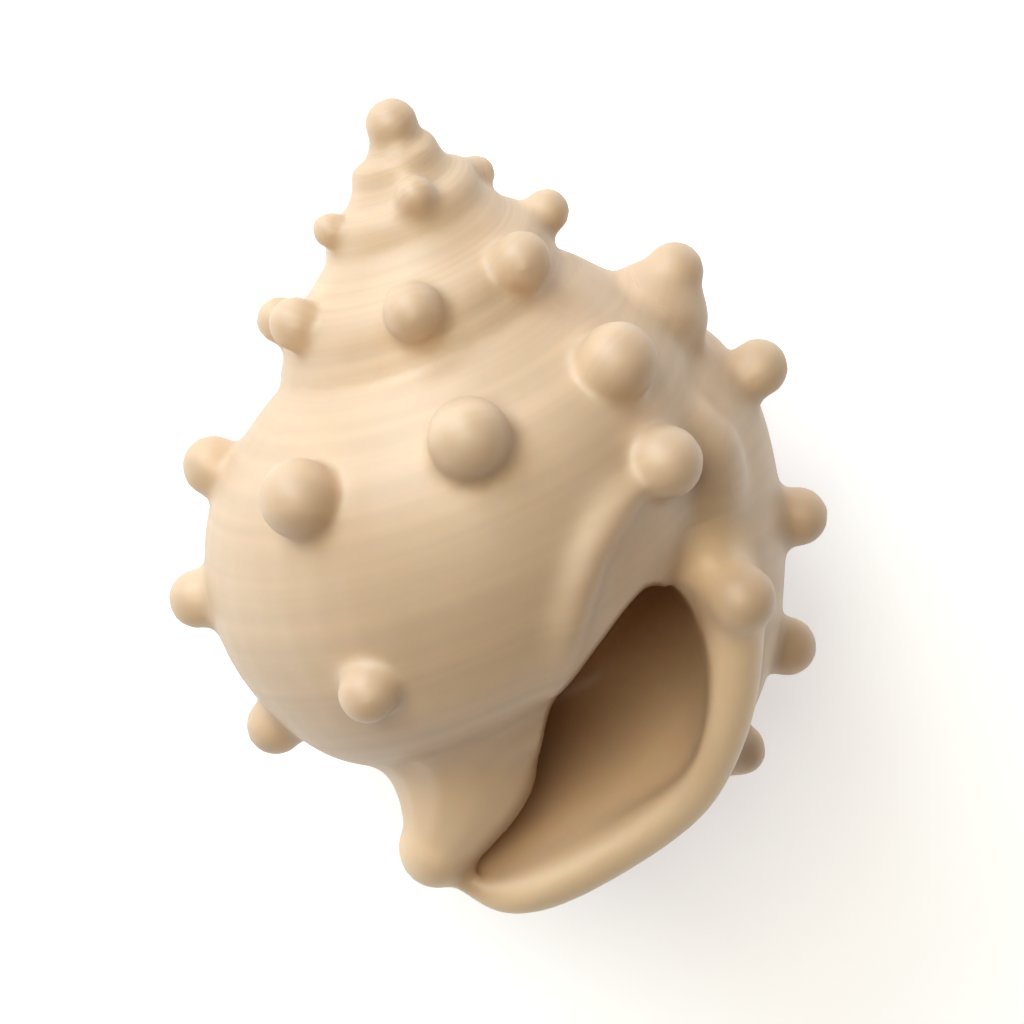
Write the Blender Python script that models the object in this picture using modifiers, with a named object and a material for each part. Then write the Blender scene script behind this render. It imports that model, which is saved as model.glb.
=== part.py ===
"""A distorsio shell: a right-handed sea snail shell with rows of round knobs, lying on its back.

The shell is first built upright round its own axis, in millimetres: apex at the top,
front (the aperture side) towards -Y. It is then turned to the way it rests on a table.
Places on the coil are given as turns, where turn 0 is the left side of the last whorl.
"""

import math

import bmesh
import bpy
from mathutils import Matrix, Vector

MM = 0.001

# Fineness of the modelling, in millimetres and passes
VOXEL = 0.45
BLEND_PASSES = 4
MELT_PASSES = 16
EDGE_PASSES = 1
SPIRE_SOFTNESS = 0.5             # share of the blending that the fine whorls near the apex get
SPIRE_FOOT = -24.0
SPIRE_LENGTH = 12.0
KEPT_SHARE = 0.068               # of the faces, so that the solid stays light

SHELL_COLOUR = (0.72, 0.56, 0.39, 1.0)

# Coil: an elliptical tube that winds down round the axis and grows at each turn
GROWTH = 1.8                     # size of a whorl against the whorl before it
FIRST_TURN = -3.6
LAST_TURN = 0.46
SETTLED_TURN = 0.0               # from here on the whorl no longer widens
SETTLING = 0.08
TUBE_CENTRE_RADIUS = 10.9
TUBE_CENTRE_DROP = 36.5
TUBE_HALF_WIDTH = 12.1
TUBE_HALF_HEIGHT = 16.5
LATE_RISE = 5.0                  # of the centre for each turn past the settled one
LATE_STRETCH = 12.0              # of the lower half for each turn past the settled one
LATE_SLIMMING = 1.8              # of the half width for each turn past the settled one
LATE_LOWERING = 2.0              # of the upper half for each turn past the settled one
BACK_LOWERING = 5.0              # of the upper half at the back of each whorl
BACK_ROUNDNESS = 1.3
RING_POINTS = 96
RINGS_PER_TURN = 44
FLARE_RINGS = 10
FLARE_TURN = 0.16
PROTOCONCH_RADIUS = 2.05
PROTOCONCH_DROP = 2.5
GROOVE_ANGLE = 15.0              # of the faint groove above the last suture, up from the section's middle
GROOVE_WIDTH = 6.0
GROOVE_DEPTH = 0.35
GROOVE_TURNS = (-1.6, -0.45)
SLOPE_STEP = 0.4                 # height over which the skin's slope is taken
# Where the section differs from a plain ellipse: angle up from its middle, width in degrees, size
SHOULDER_SLOPE = (56.0, 22.0, 1.0)
BELLY_BULGE = (-52.0, 28.0, 0.55)
SETTLE_STEPS = 4

# Outer edge of the lip: right, front and down from the axis
LIP_OUTLINE = (
    (12.0, 12.5, -28.5),
    (16.2, 9.5, -35.5),
    (17.6, 7.8, -42.4),
    (16.4, 6.4, -49.8),
    (13.4, 5.0, -56.0),
    (8.6, 4.6, -60.2),
    (0.0, 4.6, -62.2),
    (-6.2, 4.6, -62.8),
    (-8.6, 4.4, -60.2),
    (-5.0, 4.0, -52.0),
    (0.0, 5.0, -44.0),
    (6.0, 9.0, -34.0),
)

# Rounded rim of the lip
LIP_RIM = (
    (13.8, 8.6, -37.0),
    (15.4, 9.3, -40.5),
    (16.0, 9.7, -43.0),
    (15.2, 9.4, -46.1),
    (13.8, 8.9, -50.4),
    (11.8, 8.4, -53.9),
    (8.9, 7.8, -57.1),
    (5.1, 7.4, -59.1),
    (0.9, 7.0, -60.6),
    (-2.4, 6.8, -61.5),
    (-5.8, 6.4, -62.0),
    (-8.2, 5.8, -61.2),
)
LIP_RADII = (2.0, 2.3, 2.3, 2.3, 2.2, 2.2, 2.2, 2.3, 2.3, 2.3, 2.2, 1.5)

# Round swellings on the lip, as right, front and down, then radius
LIP_SWELLINGS = (
    ((16.1, 10.9, -42.0), 2.9),
    ((9.8, 8.2, -35.6), 3.4),
)

# Fill between the edge of the last whorl and the whorl in front of it
FILL = ((12.4, 4.5, -25.5), (14.9, 6.2, -29.5), (15.4, 6.6, -33.0), (14.2, 6.0, -38.0))
FILL_RADII = (1.5, 3.9, 4.2, 3.6)

# Ridge from the last shoulder knob to the aperture: right and down, then radius
RIDGE = (
    (11.7, -29.0, 2.0),
    (9.3, -30.0, 1.9),
    (7.1, -31.4, 1.8),
    (5.4, -33.4, 1.8),
    (3.8, -36.2, 1.7),
    (2.2, -39.8, 1.5),
    (0.6, -44.0, 1.0),
)
RIDGE_LIFT = -0.3

# Lobe at the foot of the shell, and what joins it to the whorls behind and to the lip
LOBE = ((-3.5, 2.2, -43.0), (-6.6, 2.6, -48.6), (-7.8, 4.0, -54.4), (-10.9, 4.9, -57.4))
LOBE_RADII = (10.2, 8.9, 5.8, 3.1)
ROOT = ((3.0, -4.0, -46.0), (1.0, -2.5, -51.0), (-2.5, 0.5, -55.5), (-7.5, 2.6, -59.0))
ROOT_RADII = (9.5, 8.0, 5.6, 3.2)
LINK = ((-11.0, 3.4, -58.0), (-8.6, 2.4, -60.2), (-5.0, 2.6, -61.2))
LINK_RADII = (2.2, 2.3, 2.3)

# Edge of the aperture
APERTURE_OUTLINE = (
    (10.1, 10.6, -39.2),
    (12.2, 9.6, -42.3),
    (12.4, 8.6, -46.4),
    (11.7, 8.0, -50.2),
    (10.2, 7.4, -53.8),
    (8.3, 7.0, -56.0),
    (4.9, 6.8, -57.3),
    (1.5, 6.6, -58.3),
    (-2.3, 6.4, -59.3),
    (-6.1, 6.2, -60.2),
    (-9.0, 6.0, -60.4),
    (-6.5, 8.0, -58.3),
    (-4.1, 8.6, -56.3),
    (-2.3, 8.8, -53.8),
    (-1.3, 9.0, -50.3),
    (0.3, 9.4, -46.8),
    (2.6, 9.8, -44.8),
    (5.5, 10.4, -42.1),
    (8.2, 10.8, -39.8),
)

# Hollow behind the aperture: a bowl that is steep at the left edge and slopes gently at the low end
FUNNEL_REACH = Vector((0.0, -9.0, 3.1))
BOWL_DEPTH = 12.0
BOWL_SHIFT = Vector((-1.0, 0.0, 2.5))
BOWL_RINGS = 14
BOWL_ROUNDNESS = 0.62
GENTLE_SHARE = 0.22              # of the full steepness, at the low end
GENTLE_FOOT = -59.5
GENTLE_TOP = -50.5

KNOB_HEAD_HEIGHT = 0.3           # of the head's centre, in head radii
KNOB_NECK = ((-0.9, 0.86), (-0.4, 0.93), (0.0, 0.97))                # height and reach, in head radii
CREST_KNOB_NECK = ((-1.6, 2.0), (-0.6, 1.75), (-0.1, 1.35), (0.15, 1.12))
KNOB_HEAD_ANGLES = (2, 20, 38, 54, 70, 83)
KNOB_RADIUS = 2.35
# Knobs on the shoulders of the whorls: turn, height over the shoulder's middle, radius
SHOULDER_KNOBS = (
    (-2.564, -1.4, 1.5),
    (-2.26, 1.0, 1.6),
    (-2.046, 0.3, 1.4),
    (-1.74, -0.4, 1.5),
    (-1.508, -0.5, 1.8),
    (-1.362, -0.4, 2.3),
    (-1.22, -0.2, 2.35),
    (-1.054, 0.2, 2.1),
    (-0.978, -0.1, 1.85),
    (-0.85, -1.2, 1.9),
    (-0.76, 0.0, 1.95),
    (-0.66, 0.0, 2.0),
    (-0.37, -0.5, 3.1),
    (-0.246, -0.1, 3.2),
    (-0.126, -0.9, 3.1),
    (0.02, -0.3, 2.4),
    (0.17, 0.0, 2.35),
    (0.27, 0.0, 2.35),
    (0.36, 0.0, 2.35),
    (0.492, -1.0, 2.3),
)

# Knobs with places of their own: middle of the foot, way it points, radius and neck
CREST_KNOB = (Vector((17.2, 0.0, -19.8)), Vector((0.64, 0.0, 0.77)), 2.3, CREST_KNOB_NECK)
VARIX_KNOB = (Vector((12.8, -13.6, -29.0)), Vector((0.33, -0.92, 0.22)), 2.85, KNOB_NECK)
LOW_KNOB = (Vector((12.9, 0.5, -57.7)), Vector((0.8, 0.0, -0.6)), 2.1, CREST_KNOB_NECK)
BACK_TURNS = (0.01, 0.1, 0.2, 0.3, 0.4, 0.49)
FRONT_KNOB_TURN = -0.148
MIDDLE_ROW = ((0.0, -35.2), (0.3, -34.4), (0.49, -41.1))
LOWER_ROW = ((-0.148, -39.2), (0.0, -46.1), (0.49, -50.8))
SUPPORT_TURNS = (0.2, 0.3)       # the shell lies on these knobs of the middle and lower rows
FLOOR_BLOCK = 100.0              # side of the block that cuts the flats
WORN_DEPTH = 0.35                # of the flats on the four knobs that it lies on
KNOB_POINTS = 20
MELT_TOP = -26.0                 # the lip, ridge and lobe melt together below this height
MELT_LEFT = -9.0
MELT_BACK = -2.0
MELT_LENGTH = 4.0
MELT_GAP = 2.6                   # from the last shoulder knob's middle to where the melting starts
BALL_SEGMENTS = 24
BALL_RINGS = 16


def clear_scene():
    for item in list(bpy.data.objects):
        bpy.data.objects.remove(item)


def growth(turn):
    """Size of the tube at a turn, against its final size."""
    slack = SETTLING * math.log1p(math.exp((SETTLED_TURN - turn) / SETTLING))
    return GROWTH ** (SETTLED_TURN - slack)


def tube_section(turn):
    """Centre radius and height, half width, and height above and below the centre."""
    size = growth(turn)
    late = max(0.0, turn)
    back = max(0.0, math.sin(math.tau * turn)) ** BACK_ROUNDNESS
    return (
        TUBE_CENTRE_RADIUS * size,
        -TUBE_CENTRE_DROP * size + LATE_RISE * late,
        TUBE_HALF_WIDTH * size - LATE_SLIMMING * late,
        (TUBE_HALF_HEIGHT - BACK_LOWERING * back) * size - LATE_LOWERING * late,
        TUBE_HALF_HEIGHT * size + LATE_STRETCH * late,
    )


def around_axis(turn, radius, height):
    angle = math.radians(-90) - math.tau * turn
    return Vector((radius * math.sin(angle), -radius * math.cos(angle), height))


def bump(degrees, shape):
    middle, width, size = shape
    return size * math.exp(-((degrees - middle) / width) ** 2)


def inset(turn, degrees):
    """How far the section lies inside a plain ellipse: a flat shoulder over a full belly."""
    belly = bump(degrees, BELLY_BULGE) * max(0.0, 1 - 2 * max(turn, 0.0))
    return bump(degrees, SHOULDER_SLOPE) - belly


def skin_radius(turn, height):
    """Distance from the axis to the outermost whorl at this side and height."""
    radius = 0.0
    for lap in (-1, 0, 1):
        if turn + lap > LAST_TURN + 0.1:
            continue
        centre_radius, centre, half_width, above, below = tube_section(turn + lap)
        reach = above if height > centre else below
        degrees = 0.0
        inwards = 0.0
        for _ in range(SETTLE_STEPS):
            inwards = inset(turn + lap, degrees)
            part = (height - centre) / (reach - inwards)
            degrees = math.degrees(math.asin(min(1.0, max(-1.0, part))))
        if abs(part) < 1:
            radius = max(radius, centre_radius + (half_width - inwards) * math.cos(math.radians(degrees)))
    return radius


def on_skin(turn, height):
    """A point on the whorls and the outward direction there."""
    step = SLOPE_STEP
    here = around_axis(turn, skin_radius(turn, height), height)
    higher = around_axis(turn, skin_radius(turn, height + step), height + step)
    lower = around_axis(turn, skin_radius(turn, height - step), height - step)
    sideways = around_axis(turn + 0.25, 1.0, 0.0)
    outward = (higher - lower).cross(sideways).normalized()
    if outward.dot(around_axis(turn, 1.0, 0.0)) < 0:
        outward.negate()
    return here, outward


def groove(turn, degrees):
    """Depth of the faint groove that runs along the whorl above the last suture."""
    first, last = GROOVE_TURNS
    if not first < turn < last:
        return 0.0
    share = math.sin(math.pi * (turn - first) / (last - first))
    return GROOVE_DEPTH * share * math.exp(-((degrees - GROOVE_ANGLE) / GROOVE_WIDTH) ** 2)


def tube_ring(turn):
    centre_radius, centre, half_width, above, below = tube_section(turn)
    ring = []
    for i in range(RING_POINTS):
        degrees = 90 - 360 * i / RING_POINTS
        angle = math.radians(degrees)
        reach = above if math.sin(angle) > 0 else below
        inwards = groove(turn, degrees) + inset(turn, degrees)
        ring.append(
            around_axis(
                turn,
                centre_radius + (half_width - inwards) * math.cos(angle),
                centre + (reach - inwards) * math.sin(angle),
            )
        )
    return ring


def smooth_loop(outline, count):
    """Evenly spread points on a smooth closed curve through an outline's points."""
    points = [Vector((x, -front, z)) for x, front, z in outline]
    fine = []
    steps = 12
    total = len(points)
    for i in range(total):
        p0, p1, p2, p3 = (points[(i + k - 1) % total] for k in range(4))
        for j in range(steps):
            t = j / steps
            fine.append(
                0.5 * (2 * p1 + (p2 - p0) * t + (2 * p0 - 5 * p1 + 4 * p2 - p3) * t * t
                       + (3 * p1 - p0 - 3 * p2 + p3) * t ** 3)
            )
    lengths = [0.0]
    for i in range(len(fine)):
        lengths.append(lengths[-1] + (fine[(i + 1) % len(fine)] - fine[i]).length)
    loop = []
    k = 0
    for i in range(count):
        want = lengths[-1] * i / count
        while lengths[k + 1] < want:
            k += 1
        part = (want - lengths[k]) / (lengths[k + 1] - lengths[k])
        loop.append(fine[k].lerp(fine[(k + 1) % len(fine)], part))
    return loop


def smoothstep(t):
    t = min(1.0, max(0.0, t))
    return t * t * (3 - 2 * t)


def loft(mesh, rings):
    """Closed skin over rings of points, all with the same count."""
    layers = [[mesh.verts.new(point * MM) for point in ring] for ring in rings]
    for lower, upper in zip(layers, layers[1:]):
        for i in range(len(lower)):
            j = (i + 1) % len(lower)
            mesh.faces.new((lower[i], lower[j], upper[j], upper[i]))
    mesh.faces.new(list(reversed(layers[0])))
    mesh.faces.new(layers[-1])


def object_from(mesh, name, collection):
    bmesh.ops.recalc_face_normals(mesh, faces=mesh.faces)
    data = bpy.data.meshes.new(name)
    mesh.to_mesh(data)
    mesh.free()
    item = bpy.data.objects.new(name, data)
    collection.objects.link(item)
    return item


def whorl_rings():
    count = round((LAST_TURN - FIRST_TURN) * RINGS_PER_TURN)
    rings = []
    for i in range(count + 1):
        turn = FIRST_TURN + (LAST_TURN - FIRST_TURN) * i / count
        rings.append(tube_ring(turn))
    lip = smooth_loop(LIP_OUTLINE, RING_POINTS)
    for i in range(1, FLARE_RINGS + 1):
        part = i / FLARE_RINGS
        straight = tube_ring(LAST_TURN + FLARE_TURN * part)
        share = smoothstep(part)
        rings.append([a.lerp(b, share) for a, b in zip(straight, lip)])
    return rings


def add_ball(mesh, centre, radius):
    bmesh.ops.create_uvsphere(
        mesh, u_segments=BALL_SEGMENTS, v_segments=BALL_RINGS, radius=radius * MM,
        matrix=Matrix.Translation(centre * MM),
    )


def add_knob(mesh, base, outward, radius, neck=KNOB_NECK):
    """A round head on a short neck that flares into the skin."""
    side = outward.orthogonal().normalized()
    other = outward.cross(side)
    rings = []
    profile = list(neck)
    for degrees in KNOB_HEAD_ANGLES:
        angle = math.radians(degrees)
        profile.append((KNOB_HEAD_HEIGHT + math.sin(angle), math.cos(angle)))
    for height, reach in profile:
        ring = []
        for i in range(KNOB_POINTS):
            angle = math.tau * i / KNOB_POINTS
            spoke = side * math.cos(angle) + other * math.sin(angle)
            ring.append(base + radius * (height * outward + reach * spoke))
        rings.append(ring)
    loft(mesh, rings)


def row_height(row, turn):
    """Height of a row of knobs at a turn, straight between the row's named places."""
    for (turn_a, height_a), (turn_b, height_b) in zip(row, row[1:]):
        if turn_a <= turn <= turn_b:
            return height_a + (height_b - height_a) * (turn - turn_a) / (turn_b - turn_a)
    raise ValueError(f"no knob height at turn {turn}")


def shoulder_height(turn):
    centre, above = tube_section(turn)[1], tube_section(turn)[3]
    rise = 39 + 10 * max(-2.2, min(turn + 0.3, 0.0)) - 32 * max(turn, 0.0)
    return centre + above * math.sin(math.radians(rise))


def knob_places():
    """Turn, height and radius of each knob."""
    places = []
    for turn, lift, radius in SHOULDER_KNOBS:
        places.append((turn, shoulder_height(turn) + lift, radius))
    for turn in BACK_TURNS:
        places.append((turn, row_height(MIDDLE_ROW, turn), KNOB_RADIUS))
        places.append((turn, row_height(LOWER_ROW, turn), KNOB_RADIUS))
    places.append((FRONT_KNOB_TURN, row_height(LOWER_ROW, FRONT_KNOB_TURN), KNOB_RADIUS))
    return places


def knob_tip(turn, height, radius):
    base, outward = on_skin(turn, height)
    return base + outward * radius * (KNOB_HEAD_HEIGHT + 1)


def add_tube(collection, name, points, radii):
    """A closed tube through points, with a radius at each."""
    curve = bpy.data.curves.new(name, "CURVE")
    curve.dimensions = "3D"
    curve.bevel_depth = MM
    curve.bevel_resolution = 4
    curve.use_fill_caps = True
    curve.resolution_u = 8
    spline = curve.splines.new("NURBS")
    spline.points.add(len(points) - 1)
    for target, point, radius in zip(spline.points, points, radii):
        target.co = (*(point * MM), 1.0)
        target.radius = radius
    spline.order_u = 3
    spline.use_endpoint_u = True
    guide = bpy.data.objects.new(name, curve)
    collection.objects.link(guide)
    bpy.context.view_layer.update()
    graph = bpy.context.evaluated_depsgraph_get()
    data = bpy.data.meshes.new_from_object(guide.evaluated_get(graph))
    bpy.data.objects.remove(guide)
    work = bmesh.new()
    work.from_mesh(data)
    bmesh.ops.remove_doubles(work, verts=work.verts, dist=1e-6)
    return object_from(work, name, collection)


def front_point(x, front, z):
    return Vector((x, -front, z))


def over_front(x, z, lift):
    """The point of the skin straight in front of (x, z), lifted towards the front."""
    front = 0.0
    for _ in range(12):
        turn = -(math.degrees(math.atan2(x, max(front, 1e-6))) + 90) / 360
        radius = skin_radius(turn, z)
        front = math.sqrt(max(radius * radius - x * x, 0.0))
    return front_point(x, front + lift, z)


def melt_share(point):
    """How far the lip, ridge and lobe melt together here: a place in millimetres, upright frame."""
    low = smoothstep((MELT_TOP - point.z) / MELT_LENGTH)
    right = smoothstep((point.x - MELT_LEFT) / MELT_LENGTH)
    ahead = smoothstep((-point.y - MELT_BACK) / MELT_LENGTH)
    base, way, radius, _ = VARIX_KNOB
    head = base + way * radius * KNOB_HEAD_HEIGHT
    clear = smoothstep(((point - head).length - MELT_GAP) / MELT_LENGTH)
    return low * right * ahead * clear


def build_outside(collection):
    body = bmesh.new()
    loft(body, whorl_rings())
    whorls = object_from(body, "whorls", collection)

    knobs = bmesh.new()
    add_ball(knobs, Vector((0, 0, -PROTOCONCH_DROP)), PROTOCONCH_RADIUS)
    for turn, height, radius in knob_places():
        base, outward = on_skin(turn, height)
        add_knob(knobs, base, outward, radius)
    for base, way, radius, neck in (CREST_KNOB, VARIX_KNOB, LOW_KNOB):
        add_knob(knobs, base, way, radius, neck)
    for place, radius in LIP_SWELLINGS:
        add_ball(knobs, front_point(*place), radius)
    knob_object = object_from(knobs, "knobs", collection)

    ridge_points = [over_front(x, z, RIDGE_LIFT) for x, z, _ in RIDGE]
    ridge = add_tube(collection, "ridge", ridge_points, [radius for _, _, radius in RIDGE])
    lip = add_tube(collection, "lip", [front_point(*place) for place in LIP_RIM], LIP_RADII)
    lobe = add_tube(collection, "lobe", [front_point(*place) for place in LOBE], LOBE_RADII)
    root = add_tube(collection, "root", [front_point(*place) for place in ROOT], ROOT_RADII)
    link = add_tube(collection, "link", [front_point(*place) for place in LINK], LINK_RADII)
    fill = add_tube(collection, "fill", [front_point(*place) for place in FILL], FILL_RADII)
    end = bmesh.new()
    add_ball(end, front_point(*LOBE[-1]), LOBE_RADII[-1])
    lobe_end = object_from(end, "lobe_end", collection)
    return [whorls, knob_object, ridge, lip, lobe, root, link, fill, lobe_end]


def cavity_rings():
    """Rings of the hollow, from the front of the aperture to the bottom of its bowl."""
    opening = smooth_loop(APERTURE_OUTLINE, RING_POINTS)
    middle = sum(opening, Vector()) / len(opening)
    rings = [[point + FUNNEL_REACH for point in opening]]
    for i in range(BOWL_RINGS):
        angle = math.pi / 2 * i / BOWL_RINGS
        size = math.cos(angle) ** BOWL_ROUNDNESS
        deep = math.sin(angle)
        ring = []
        for point in opening:
            steep = smoothstep((point.z - GENTLE_FOOT) / (GENTLE_TOP - GENTLE_FOOT))
            steep = GENTLE_SHARE + (1 - GENTLE_SHARE) * steep
            steep += (1 - steep) * deep ** 2
            spot = middle + (point - middle) * size + BOWL_SHIFT * deep
            ring.append(spot + Vector((0.0, BOWL_DEPTH * deep * steep, 0.0)))
        rings.append(ring)
    return rings


def rest_rotation():
    """Turns the shell onto the four knobs it lies on, with the apex towards +Y."""
    upper = [knob_tip(t, row_height(MIDDLE_ROW, t), KNOB_RADIUS) for t in SUPPORT_TURNS]
    lower = [knob_tip(t, row_height(LOWER_ROW, t), KNOB_RADIUS) for t in SUPPORT_TURNS]
    up = (upper[0] - lower[1]).cross(upper[1] - lower[0]).normalized()
    if up.y > 0:
        up.negate()
    side = Vector((0, 0, 1)).cross(up).normalized()
    ahead = up.cross(side)
    return Matrix((side, ahead, up)).to_4x4()


def evaluated_mesh(item):
    bpy.context.view_layer.update()
    graph = bpy.context.evaluated_depsgraph_get()
    return bpy.data.meshes.new_from_object(item.evaluated_get(graph))


def low_and_middle(mesh):
    """Lowest height, and the middle of the box in x and y."""
    xs = [vertex.co.x for vertex in mesh.vertices]
    ys = [vertex.co.y for vertex in mesh.vertices]
    low = min(vertex.co.z for vertex in mesh.vertices)
    return Vector(((min(xs) + max(xs)) / 2, (min(ys) + max(ys)) / 2, low))


def soft_share(height):
    """How far the blending moves the skin: less on the fine whorls near the apex."""
    return SPIRE_SOFTNESS + (1 - SPIRE_SOFTNESS) * smoothstep((SPIRE_FOOT - height) / SPIRE_LENGTH)


def shell_material():
    material = bpy.data.materials.new("shell")
    material.use_nodes = True
    surface = material.node_tree.nodes["Principled BSDF"]
    surface.inputs["Base Color"].default_value = SHELL_COLOUR
    surface.inputs["Roughness"].default_value = 0.5
    surface.inputs["Metallic"].default_value = 0.0
    return material


def fused_skin(collection):
    """Every form of the outside as one skin, with its soft places marked."""
    joined = bmesh.new()
    for piece in build_outside(collection):
        joined.from_mesh(piece.data)
        bpy.data.objects.remove(piece)
    pile = object_from(joined, "pile", collection)
    fuse = pile.modifiers.new("fuse", "REMESH")
    fuse.mode = "VOXEL"
    fuse.voxel_size = VOXEL * MM
    rough = bpy.data.objects.new("rough_shell", evaluated_mesh(pile))
    collection.objects.link(rough)
    bpy.data.objects.remove(pile)
    soft = rough.vertex_groups.new(name="soft")
    melted = rough.vertex_groups.new(name="melted")
    for vertex in rough.data.vertices:
        soft.add([vertex.index], soft_share(vertex.co.z / MM), "REPLACE")
        share = melt_share(vertex.co / MM)
        if share > 0:
            melted.add([vertex.index], share, "REPLACE")
    return rough


def main():
    clear_scene()
    shell_parts = bpy.data.collections.new("distorsio_shell")
    bpy.context.scene.collection.children.link(shell_parts)
    cutters = bpy.data.collections.new("cutters")
    bpy.context.scene.collection.children.link(cutters)

    rough = fused_skin(shell_parts)
    blend = rough.modifiers.new("blend", "SMOOTH")
    blend.factor = 0.5
    blend.iterations = BLEND_PASSES
    blend.vertex_group = "soft"
    melt = rough.modifiers.new("melt", "SMOOTH")
    melt.factor = 0.5
    melt.iterations = MELT_PASSES
    melt.vertex_group = "melted"

    bowl = bmesh.new()
    loft(bowl, cavity_rings())
    cavity = object_from(bowl, "cavity", cutters)
    clean = cavity.modifiers.new("clean", "REMESH")
    clean.mode = "VOXEL"
    clean.voxel_size = VOXEL * MM
    hollow = rough.modifiers.new("hollow", "BOOLEAN")
    hollow.operation = "DIFFERENCE"
    hollow.object = cavity
    again = rough.modifiers.new("even", "REMESH")
    again.mode = "VOXEL"
    again.voxel_size = VOXEL * MM
    edge = rough.modifiers.new("soften", "SMOOTH")
    edge.factor = 0.5
    edge.iterations = EDGE_PASSES
    thin = rough.modifiers.new("thin", "DECIMATE")
    thin.ratio = KEPT_SHARE

    mesh = evaluated_mesh(rough)
    mesh.name = "shell"
    mesh.transform(rest_rotation())
    low = low_and_middle(mesh)
    mesh.transform(Matrix.Translation(-low - Vector((0, 0, WORN_DEPTH * MM))))
    mesh.materials.append(shell_material())
    mesh.shade_smooth()
    shell = bpy.data.objects.new("shell", mesh)
    shell_parts.objects.link(shell)
    bpy.data.objects.remove(rough)
    bpy.data.objects.remove(cavity)

    block = bmesh.new()
    depth = FLOOR_BLOCK / 2 * MM
    bmesh.ops.create_cube(block, size=FLOOR_BLOCK * MM, matrix=Matrix.Translation((0, 0, -depth)))
    floor = object_from(block, "floor_cutter", cutters)
    floor.hide_render = True
    floor.display_type = "WIRE"
    worn = shell.modifiers.new("worn", "BOOLEAN")
    worn.operation = "DIFFERENCE"
    worn.object = floor


main()
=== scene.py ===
"""The look of a distorsio shell: a right-handed sea snail shell with rows of round knobs, lying on its back.

The shell is first built upright round its own axis, in millimetres: apex at the top,
front (the aperture side) towards -Y. It is then turned to the way it rests on a table.
Places on the coil are given as turns, where turn 0 is the left side of the last whorl.
"""

import math

import bmesh
import bpy
import numpy as np
from mathutils import Matrix, Vector
from mathutils.bvhtree import BVHTree


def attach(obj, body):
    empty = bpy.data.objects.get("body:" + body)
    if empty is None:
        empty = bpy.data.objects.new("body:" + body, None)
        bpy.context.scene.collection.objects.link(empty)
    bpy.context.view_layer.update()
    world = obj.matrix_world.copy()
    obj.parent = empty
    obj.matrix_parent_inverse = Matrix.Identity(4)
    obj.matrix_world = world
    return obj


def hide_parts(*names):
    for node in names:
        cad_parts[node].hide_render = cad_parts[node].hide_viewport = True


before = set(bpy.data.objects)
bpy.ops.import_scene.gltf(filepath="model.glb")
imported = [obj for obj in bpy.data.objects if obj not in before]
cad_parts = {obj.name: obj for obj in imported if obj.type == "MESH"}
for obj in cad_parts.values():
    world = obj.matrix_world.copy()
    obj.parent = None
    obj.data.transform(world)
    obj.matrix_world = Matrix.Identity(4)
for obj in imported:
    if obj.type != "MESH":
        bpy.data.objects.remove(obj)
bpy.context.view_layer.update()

MM = 0.001

# Fineness of the modelling, in millimetres and passes
VOXEL = 0.36
BLEND_PASSES = 7
MELT_PASSES = 60
EDGE_PASSES = 2
SMOOTHING = 0.5                  # share of the way that a point goes in each pass
SPIRE_SOFTNESS = 0.5
SPIRE_FOOT = -24.0
SPIRE_LENGTH = 12.0

# Look
LINING_BLEND = 0.4               # from the hollow's own surface outwards
LOW_BLEND = 2.0                  # more of it at the low end
LOW_TOP = -48.0
LOW_LENGTH = 8.0
SOFT_EDGE = slice(1, 10)         # points of the aperture's edge where it flows into the rim
SOFT_EDGE_REACH = (1.2, 3.4)
SOFT_EDGE_PASSES = 60
CRISP_SHARE = 0.15               # of that softening, on the rest of the edge
LINING_WAY = Vector((0.554, -0.271, -0.787))    # the way the lining's painted shade gives way to painted light, upright frame
LINING_START = 40.4              # along that way, in millimetres
LINING_LENGTH = 7.5
RIM_REACH = (1.4, 4.4)           # from the rim's middle line: full pale tone and painted highlight, and none
LOBE_HIGHLIGHT_REACH = (4.5, 10.0)         # from the lobe's end: full painted highlight, and none
# share of the painted highlight that lightens the lobe
LOBE_HIGHLIGHT_SHARE = 0.6
OUTER_LIGHT = (0.77, 0.56, 0.385)
OUTER_DARK = (0.71, 0.50, 0.335)
# Lip's rim: paler, partly its own tone and partly a painted highlight; the same colour paints the highlight
# on the lobe
RIM_PALE_AND_HIGHLIGHT = (0.98, 0.725, 0.49)
# Lining of the hollow: brown, with painted shade across it, from the painted lit end at the low right to the
# painted shaded end at the upper left
LINING_PAINTED_LIT = (0.83, 0.60, 0.40)
LINING_PAINTED_SHADE = (0.36, 0.18, 0.075)
SKIN_ROUGHNESS = 0.46
SKIN_SHINE = 0.7
CLOUD_SCALE = 90.0               # of the soft patches of tone on the skin
CLOUD_DETAIL = 3.0
CLOUD_RANGE = (0.3, 0.7)         # where the patches are all dark, and all light
STREAK_SCALE = (1.5, 9.0, 1.0)   # along the coil, round the section and none
STREAK_DETAIL = 2.0
STREAK_RANGE = (0.35, 0.65)
STREAK_TONES = (0.95, 1.03)      # of the skin's colour, over that range
RELIEF_STRENGTH = 0.12
RELIEF_HEIGHT = 0.25             # in millimetres
GLOW_WEIGHT = 0.3                # light that passes under the skin
GLOW_RADIUS = (1.0, 0.45, 0.2)
GLOW_SCALE = 1.0
FLOOR_COLOUR = (0.9, 0.9, 0.9)
FLOOR_ROUGHNESS = 0.9
FLOOR_GLOW = 0.52
FLOOR_GLOW_COLOUR = (0.94, 0.955, 1.0)
FLOOR_SIZE = 3.0

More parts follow.
